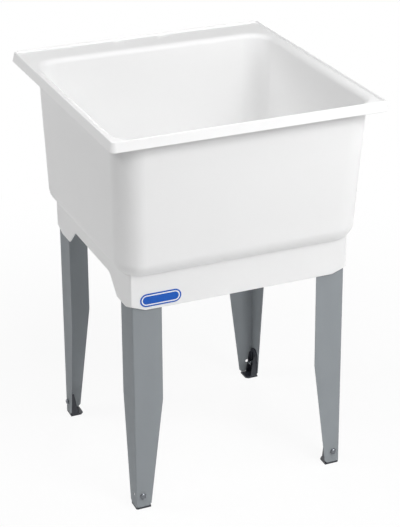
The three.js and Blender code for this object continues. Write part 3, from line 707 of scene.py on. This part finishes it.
def screw_part(sizes):
    """A washer-head screw. Its thread is r + a |2 frac(h/p - angle/turn) - 1|. Its head is the lesser
    of a hexagon and a cone, so that the six corners are rounded off at the top."""
    radius, pitch = sizes.screw, sizes.pitch
    thread = np.arange(15.4, -0.3, -0.2)
    outline = [(0.001, 16), (2.3, 16), (2.9, 15.4)] + [(radius / MM, h) for h in thread[1:]] + [
        (radius / MM, -0.3), (6.2, -0.3), (6.6, -0.6), (6.6, -0.95), (6.3, -1.25), (5.9, -1.4), (7, -1.6),
        (7, -3.1), (6, -3.3), (5.6, -3.6), (4.2, -5), (3.9, -5.1), (3.4, -5.1), (3.1, -4.95), (0.001, -4.9)]

    def swell(angle, r, h):
        depth = 0.32 * MM * np.abs(2 * ((h / pitch - angle / (2 * math.pi)) % 1) - 1)
        threaded = np.where((h > -0.2 * MM) & (h < 15.3 * MM) & (r > 2.95 * MM), r - depth, r)
        head = (h < -1.5 * MM) & (r > 3.7 * MM)
        return np.where(head, np.minimum(r, hexagon(angle, sizes.across)), threaded)
    return turned(np.array(outline) * MM, swell=swell)


def nut_part(sizes):
    """A hexagon nut: the lesser of a hexagon and a cone at each end, with a threaded bore."""
    low, high, bore = 7.6, 13.1, 3.475
    thread = [(bore, h) for h in np.arange(high - 0.6, low + 0.5, -0.2)]
    outline = [(bore + 0.4, low), (5.3, low), (7, low + 0.7), (7, high - 0.7), (5.3, high),
               (bore + 0.4, high), (bore, high - 0.4), *thread, (bore, low + 0.4)]

    def swell(angle, r, h):
        groove = 0.15 * MM * np.abs(2 * ((h / sizes.pitch - angle / (2 * math.pi)) % 1) - 1)
        inside = (r < 3.5 * MM) & (h > 8.1 * MM) & (h < 12.6 * MM)
        grooved = np.where(inside, r + groove, r)
        return np.where(r > 4 * MM, np.minimum(r, hexagon(angle, sizes.across)), grooved)
    return turned(np.array(outline) * MM, wrap=True, swell=swell)


def washer_part():
    """A flat washer with softened edges."""
    profile = section([(3.475, 5.7), (8, 5.7), (8, 7.3), (3.475, 7.3)], [0.25] * 4, 2, closed=True)
    return turned(profile, wrap=True)


class SINK_OT_fasteners(bpy.types.Operator):
    """Builds the screw, washer and nut of each foot"""
    bl_idname = "sink.fasteners"
    bl_label = "Foot fasteners"

    def execute(self, context):
        sizes = context.scene.sink_fastener
        material = zinc_plate(context)
        for name, (points, faces) in {"screw": screw_part(sizes), "washer": washer_part(),
                                      "nut": nut_part(sizes)}.items():
            for corner in CORNERS:
                piece = smooth_piece(f"{name}_{corner}", along_y(points, corner), faces)
                piece.data.set_sharp_from_angle(angle=math.radians(38))
                finish_piece(piece, material, "sink", "zinc", f"foot_{name}_{corner}")
        return {"FINISHED"}


# ---------------- drain, stopper and tailpiece

class SINK_OT_drain(bpy.types.Operator):
    """Builds the tailpiece, its washer and slip nut, and gives the strainer its metal"""
    bl_idname = "sink.drain"
    bl_label = "Drain"

    def execute(self, context):
        centre = (0, DRAIN_Y, 0)
        pipe = extruded_pipe(context)
        tube = section([(17.45, 374.4), (19.05, 374.4), (19.05, 461.4), (22.6, 461.4), (22.6, 464.4),
                        (17.45, 464.4)], [0.5, 0.5, 1, 0.6, 0.6, 0.6], 3, closed=True)
        piece = smooth_piece("outlet_tailpiece", *turned(tube, centre, 72, wrap=True))
        finish_piece(piece, pipe, "sink", "pipe_plastic", "drain_tailpiece")

        seal = section([(17.5, 464.7), (22.6, 464.7), (22.6, 466.7), (17.5, 466.7)], [0.5] * 4, 3,
                       closed=True)
        piece = smooth_piece("outlet_washer", *turned(seal, centre, 72, wrap=True))
        finish_piece(piece, nitrile_rubber(context), "sink", "rubber", "tailpiece_washer")

        outside, face = 28.3, 28.3 * MM
        nut = section([(19.35, 457.1), (outside, 457.1), (outside, 479.1), (24.3, 479.1), (24.3, 461.1),
                       (19.35, 461.1)], [0.5, 1.2, 0.8, 0.5, 0.8, 0.5], closed=True)
        extra = np.linspace(460, 476, 9) * MM
        place = 1 + np.flatnonzero((nut[:, 0] > 28 * MM) & (nut[:, 1] < 460 * MM)).max()
        nut = np.vstack([nut[:place], np.column_stack([np.full(9, face), extra]), nut[place:]])

        def lugs(angle, radius, height):
            """Eight lugs that rise 1.8 mm from the nut, with sloping sides and ends."""
            turn = np.abs((angle + math.pi / 8) % (math.pi / 4) - math.pi / 8) * face
            across = np.clip((4.4 * MM - turn) / (1.2 * MM), 0, 1)
            up = np.clip(np.minimum(height - 458.6 * MM, 477.6 * MM - height) / (1.2 * MM), 0, 1)
            return radius + np.where(radius > 28 * MM, 1.8 * MM * across * up, 0)
        piece = smooth_piece("outlet_slip_nut", *turned(nut, centre, 256, wrap=True, swell=lugs))
        piece.data.set_sharp_from_angle(angle=math.radians(50))
        finish_piece(piece, pipe, "sink", "pipe_plastic", "slip_nut")

        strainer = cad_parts["drain_strainer"]
        strainer.data.materials.clear()
        strainer.data.materials.append(stainless_steel(context))
        return {"FINISHED"}


class SINK_OT_stopper(bpy.types.Operator):
    """Builds the rubber stopper and its wire ring"""
    bl_idname = "sink.stopper"
    bl_label = "Stopper"

    def execute(self, context):
        profile = section([(0.01, 509.1), (32.85, 509.1), (35.2, 520.1), (8, 520.1), (0.01, 520.1)],
                          [0, 1.5, 1.5, 0, 0])
        lip = (profile[:, 0] < 30 * MM) & (profile[:, 1] > 515 * MM)
        dished = np.array([(33, 520.1), (32, 519.6), (30, 519.4), (12, 519.4), (9, 519.9), (0.01, 520)]) * MM
        profile = np.vstack([profile[~lip], dished])
        plug = smooth_piece("rubber_stopper", *turned(profile, (0, DRAIN_Y, 0), 96))
        tab = section([(-7, 514), (-7, 533.1), (7, 533.1), (7, 514)], [0, 4.5, 4.5, 0], 8, guard=1)
        upright = solid("tab", prism(tab, DRAIN_Y - 2 * MM, DRAIN_Y + 2 * MM, 1))
        eye_height = 526.6 * MM
        eye = round_bar(1.7 * MM, DRAIN_Y - 4 * MM, DRAIN_Y + 4 * MM, (0, eye_height), 1, 24)
        combine(upright, [solid("eye", eye)], "DIFFERENCE")
        combine(plug, [upright], "UNION")
        soften(plug, 0.4 * MM)
        finish_piece(plug, nitrile_rubber(context), "stopper", "rubber", "drain_stopper")

        # A ring: wire of radius w about a circle of radius R, at (R + w cos b) cos a, (R + w cos b) sin a
        # and w sin b, hung from its edge and tilted until its far side rests on the plug.
        ring, wire, drop = 9 * MM, 1.1 * MM, 5.1 * MM
        around = np.linspace(0, 2 * math.pi, 72, endpoint=False)[:, None]
        about = np.linspace(0, 2 * math.pi, 16, endpoint=False)[None, :]
        flat = ring + wire * np.cos(about)
        out, side, up = flat * np.cos(around) + ring, flat * np.sin(around), wire * np.sin(about) + 0 * around
        tilt = math.asin(drop / (2 * ring))
        points = np.stack([out * math.cos(tilt) + up * math.sin(tilt), side + DRAIN_Y,
                           eye_height - out * math.sin(tilt) + up * math.cos(tilt)], axis=-1)
        piece = smooth_piece("stopper_pull_ring", points, grid_faces(72, 16, wrap_rows=True))
        finish_piece(piece, stainless_steel(context), "stopper", "stainless", "stopper_ring")
        return {"FINISHED"}


# ---------------- materials

def add(tree, kind, settings=None, inputs=None):
    """Adds a node with its settings. An input takes a value, or a link from another node's output."""
    node = tree.nodes.new(kind)
    for key, value in (settings or {}).items():
        setattr(node, key, value)
    for key, value in (inputs or {}).items():
        if isinstance(value, bpy.types.NodeSocket):
            tree.links.new(value, node.inputs[key])
        else:
            node.inputs[key].default_value = value
    return node


def new_material(name, **inputs):
    """A material with a Principled shader, its inputs set, and the Object coordinates to draw on."""
    material = bpy.data.materials.new(name)
    material.use_nodes = True
    tree = material.node_tree
    tree.nodes.clear()
    shader = add(tree, "ShaderNodeBsdfPrincipled", None, {key.replace("_", " "): value
                                                          for key, value in inputs.items()})
    add(tree, "ShaderNodeOutputMaterial", None, {"Surface": shader.outputs[0]})
    return material, tree, shader, add(tree, "ShaderNodeTexCoord").outputs["Object"]


def grain(tree, place, size, detail=2.0, stretch=(1, 1, 1)):
    """Noise whose blotches are `size` metres across, drawn out along an axis where stretch is under 1."""
    mapping = add(tree, "ShaderNodeMapping", None, {"Vector": place, "Scale": stretch})
    return add(tree, "ShaderNodeTexNoise", None, {"Vector": mapping.outputs[0], "Scale": 1 / size,
                                                  "Detail": detail, "Roughness": 0.5}).outputs[0]


def spread(tree, value, low, high):
    """Maps a noise value from its usual range to another one."""
    return add(tree, "ShaderNodeMapRange", None, {"Value": value, "From Min": 0.3, "From Max": 0.7,
                                                  "To Min": low, "To Max": high}).outputs[0]


def darkened(tree, base, value, change):
    """A colour between one and a slightly darker one, by a value from 0 to 1."""
    dark = (channel * (1 - change) for channel in base)
    ends = {0: value, 6: (*base, 1), 7: (*dark, 1)}
    return add(tree, "ShaderNodeMix", {"data_type": "RGBA"}, ends).outputs[2]


def tinted(tree, shader, base, value, change):
    """Gives the shader such a colour."""
    tree.links.new(darkened(tree, base, value, change), shader.inputs["Base Color"])


def bumped(tree, shader, layers):
    """Bump from several noises, each with its height in metres."""
    normal = None
    for value, height in layers:
        inputs = {"Height": value, "Strength": 1.0, "Distance": height}
        if normal:
            inputs["Normal"] = normal
        normal = add(tree, "ShaderNodeBump", None, inputs).outputs[0]
    tree.links.new(normal, shader.inputs["Normal"])


def varied(name, base, tint, change, gloss, rough, relief, **inputs):
    """A material with noises, each given by its size, detail and stretch as for grain: `tint` darkens
    the colour by up to `change`, `gloss` moves the roughness between two values, and those of `relief`
    come with their heights in metres."""
    material, tree, shader, place = new_material(name, **inputs)
    tinted(tree, shader, base, spread(tree, grain(tree, place, *tint), 0, 1), change)
    tree.links.new(spread(tree, grain(tree, place, *gloss), *rough), shader.inputs["Roughness"])
    bumped(tree, shader, [(grain(tree, place, *noise), height) for *noise, height in relief])
    return material


def moulded_polypropylene(context):
    """Polypropylene from a polished mould: an even, slightly warm white with a soft gloss. The melt
    leaves a faint flow in the gloss, and cooling leaves the broad walls very slightly wavy."""
    # The real surface has a 0.8 mm orange peel. It is drawn 2.5 mm wide to show at this distance.
    return varied("moulded polypropylene", context.scene.sink_colours.tub, (180 * MM,), 0.012, (55 * MM, 3),
                  (0.3, 0.38), [(110 * MM, 0.35 * MM), (2.5 * MM, 0.012 * MM)], IOR=1.49,
                  Specular_IOR_Level=0.15)


def baked_enamel(context):
    """Grey enamel baked on cold-rolled steel: a satin paint film with a fine orange peel, and small
    changes in gloss from wiping."""
    return varied("baked enamel on steel", context.scene.sink_colours.leg, (60 * MM, 3, (1, 1, 0.35)), 0.05,
                  (25 * MM, 3), (0.48, 0.58), [(2 * MM, 0.02 * MM)], IOR=1.5, Specular_IOR_Level=0.06)


def moulded_nylon(context):
    """Glass-filled nylon, injection moulded: near black, with the fine sparkle of a spark-eroded mould
    and a dull sheen."""
    # Texture of 0.3 mm, drawn at 0.8 mm.
    return varied("moulded nylon", context.scene.sink_colours.foot, (12 * MM, 3), 0.2, (5 * MM,),
                  (0.42, 0.58), [(0.8 * MM, 0.04 * MM)], IOR=1.53)


def zinc_plate(context):
    """Zinc plate on cold-formed steel, darkened below plain zinc as a painted dark reflection of the
    surroundings: a dark metal with a sharp, slightly uneven shine."""
    return varied("dark passivated zinc plate", context.scene.sink_colours.zinc, (3 * MM, 3), 0.18,
                  (2 * MM, 3), (0.12, 0.22), [(0.9 * MM, 0.015 * MM)], Metallic=1.0)


def stainless_steel(context):
    """Stainless steel, stamped and tumbled: a brushed metal whose fine lines circle the drain."""
    material, tree, shader, place = new_material("tumbled stainless steel", Metallic=1.0)
    centred = add(tree, "ShaderNodeMapping", None, {"Vector": place, "Location": (0, -DRAIN_Y, 0)})
    rings = add(tree, "ShaderNodeTexWave", {"wave_type": "RINGS", "rings_direction": "Z"},
                {"Vector": centred.outputs[0], "Scale": 1 / (2 * math.pi * 0.25 * MM), "Distortion": 2.0,
                 "Detail": 2.0})
    tinted(tree, shader, context.scene.sink_colours.stainless, rings.outputs[1], 0.06)
    tree.links.new(spread(tree, grain(tree, place, 6 * MM, 3), 0.2, 0.34), shader.inputs["Roughness"])
    bumped(tree, shader, [(rings.outputs[1], 0.006 * MM)])
    return material


def nitrile_rubber(context):
    """Black nitrile rubber, compression moulded: dull, with a dusty bloom in patches."""
    return varied("nitrile rubber", context.scene.sink_colours.rubber, (14 * MM, 4), 0.25, (8 * MM, 3),
                  (0.55, 0.72), [(1.2 * MM, 0.03 * MM)], IOR=1.52)


def extruded_pipe(context):
    """White drain pipe plastic: smooth and faintly creamy, with light lines from the extruder's die
    that run along the tube."""
    return varied("extruded drain pipe", context.scene.sink_colours.pipe, (30 * MM,), 0.03, (12 * MM,),
                  (0.26, 0.36), [(1.5 * MM, 2, (1, 1, 0.02), 0.015 * MM)], IOR=1.53)


def printed_film(context):
    """Printed polyester film under a clear gloss coat: blue ink with a line left white, and the ink's
    own fine mottle."""
    colours = context.scene.sink_colours
    material, tree, shader, place = new_material("printed polyester film", IOR=1.57, Specular_IOR_Level=0.25)
    mask = add(tree, "ShaderNodeAttribute", {"attribute_name": "printed"}).outputs["Fac"]
    ink = darkened(tree, colours.label, spread(tree, grain(tree, place, 2 * MM, 3), 0, 1), 0.15)
    mix = add(tree, "ShaderNodeMix", {"data_type": "RGBA"}, {0: mask, 6: (*colours.label_line, 1), 7: ink})
    tree.links.new(mix.outputs[2], shader.inputs["Base Color"])
    tree.links.new(spread(tree, grain(tree, place, 6 * MM, 2), 0.3, 0.36), shader.inputs["Roughness"])
    return material


# ---------------- stage

def white_where_seen(tree, surface, white):
    """Shows plain white to the camera, to reflections and through glass, and `surface` to other rays."""
    path = add(tree, "ShaderNodeLightPath").outputs
    seen = path["Is Camera Ray"]
    for ray in ("Is Glossy Ray", "Is Transmission Ray"):
        seen = add(tree, "ShaderNodeMath", {"operation": "MAXIMUM"}, {0: seen, 1: path[ray]}).outputs[0]
    return add(tree, "ShaderNodeMixShader", None, {0: seen, 1: surface, 2: white}).outputs[0]


LAMPS = {  # place, and side of the square lamp
    "key": ((0.755, -2.073, 2.324), 1.2),
    "front": ((-0.571, -2.131, 2.324), 1.2),
    "high": ((0.0, -1.606, 2.894), 1.2),
    "top": ((-0.589, -0.84, 3.419), 1.0),
    "side": ((-2.073, 0.755, 2.324), 1.2),
    "left": ((-2.131, -0.571, 2.324), 1.2),
    "right": ((1.256, -0.725, 1.276), 0.8),
    "low": ((0.783, -1.355, 0.267), 0.6),
    "rear": ((1.0, 2.1, 0.5), 0.9),
}


class SINK_OT_stage(bpy.types.Operator):
    """Builds the white floor, the soft lamps and the camera"""
    bl_idname = "sink.stage"
    bl_label = "Stage"

    def execute(self, context):
        scene, settings = context.scene, context.scene.sink_stage
        self.floor(context, settings)
        self.world(scene, settings)
        self.lamps(scene, settings)
        self.camera(scene)
        scene.view_settings.view_transform = "Standard"
        return {"FINISHED"}

    def floor(self, context, settings):
        side = 20
        flat = np.array([(-side, -side, 0), (side, -side, 0), (side, side, 0), (-side, side, 0)], float)
        piece = solid("studio_floor", (flat, [[0, 1, 2, 3]]))
        material = bpy.data.materials.new("white studio floor")
        material.use_nodes = True
        tree = material.node_tree
        tree.nodes.clear()
        own = add(tree, "ShaderNodeBsdfDiffuse", None, {"Color": (*context.scene.sink_colours.floor, 1)})
        white = add(tree, "ShaderNodeEmission", None, {"Color": (1, 1, 1, 1), "Strength": settings.white})
        # The floor's own light shows near the sink, with its shadow, and fades out to plain white.
        away = add(tree, "ShaderNodeVectorMath", {"operation": "LENGTH"},
                   {0: add(tree, "ShaderNodeTexCoord").outputs["Object"]}).outputs["Value"]
        share = add(tree, "ShaderNodeMapRange", {"interpolation_type": "SMOOTHSTEP"},
                    {"Value": away, "From Min": 0.45, "From Max": 1.5, "To Min": settings.shadow,
                     "To Max": 0.0})
        shadowed = add(tree, "ShaderNodeMixShader", None, {0: share.outputs[0], 1: white.outputs[0],
                                                           2: own.outputs[0]})
        surface = white_where_seen(tree, own.outputs[0], shadowed.outputs[0])
        add(tree, "ShaderNodeOutputMaterial", None, {"Surface": surface})
        piece.data.materials.append(material)

    def world(self, scene, settings):
        scene.world = bpy.data.worlds.new("white room")
        scene.world.use_nodes = True
        tree = scene.world.node_tree
        tree.nodes.clear()
        room, white = (add(tree, "ShaderNodeBackground", None, {"Color": (1, 1, 1, 1), "Strength": strength})
                       for strength in (settings.ambient, settings.white))
        surface = white_where_seen(tree, room.outputs[0], white.outputs[0])
        add(tree, "ShaderNodeOutputWorld", None, {"Surface": surface})

    def lamps(self, scene, settings):
        middle = Vector((0, 0, 0.6))
        for name, (place, side) in LAMPS.items():
            light = bpy.data.lights.new(name + " lamp", "AREA")
            light.energy, light.size = getattr(settings, name), side
            lamp = bpy.data.objects.new(light.name, light)
            lamp.location = place
            lamp.rotation_euler = (middle - Vector(place)).to_track_quat("-Z", "Y").to_euler()
            scene.collection.objects.link(lamp)

    def camera(self, scene):
        """Places the camera that was fitted to the sink's straight edges."""
        place = (-1.20454, -2.88434, 1.86787)
        forward, right = Vector((0.353122, 0.835288, -0.421424)), Vector((0.919936, -0.392019, -0.006172))
        lens = bpy.data.cameras.new("camera")
        lens.lens, lens.sensor_width = 109.864, 36
        camera = bpy.data.objects.new("camera", lens)
        axes = Matrix((right, right.cross(forward), -forward)).transposed()
        camera.matrix_world = Matrix.Translation(place) @ axes.to_4x4()
        scene.collection.objects.link(camera)
        scene.camera = camera


# ---------------- panel and registration

OPERATORS = (SINK_OT_tub, SINK_OT_label, SINK_OT_legs, SINK_OT_feet, SINK_OT_fasteners, SINK_OT_drain,
             SINK_OT_stopper, SINK_OT_stage)
GROUPS = {"sink_tub": TubSizes, "sink_leg": LegSizes, "sink_foot": FootSizes, "sink_fastener": FastenerSizes,
          "sink_colours": SinkColours, "sink_stage": StageSettings}


class SINK_PT_panel(bpy.types.Panel):
    """Lists the sink's pieces"""
    bl_idname = "SINK_PT_panel"
    bl_label = "Laundry sink"
    bl_space_type = "VIEW_3D"
    bl_region_type = "UI"
    bl_category = "Sink"

    def draw(self, context):
        for operator in OPERATORS:
            self.layout.operator(operator.bl_idname)


def register():
    for item in (*GROUPS.values(), *OPERATORS, SINK_PT_panel):
        bpy.utils.register_class(item)
    for name, group in GROUPS.items():
        setattr(bpy.types.Scene, name, PointerProperty(type=group))


def unregister():
    for name in GROUPS:
        delattr(bpy.types.Scene, name)
    for item in (SINK_PT_panel, *OPERATORS[::-1], *list(GROUPS.values())[::-1]):
        bpy.utils.unregister_class(item)


def main():
    register()
    for operator in OPERATORS:
        getattr(bpy.ops.sink, operator.bl_idname.split(".")[1])()


if __name__ == "__main__":
    main()
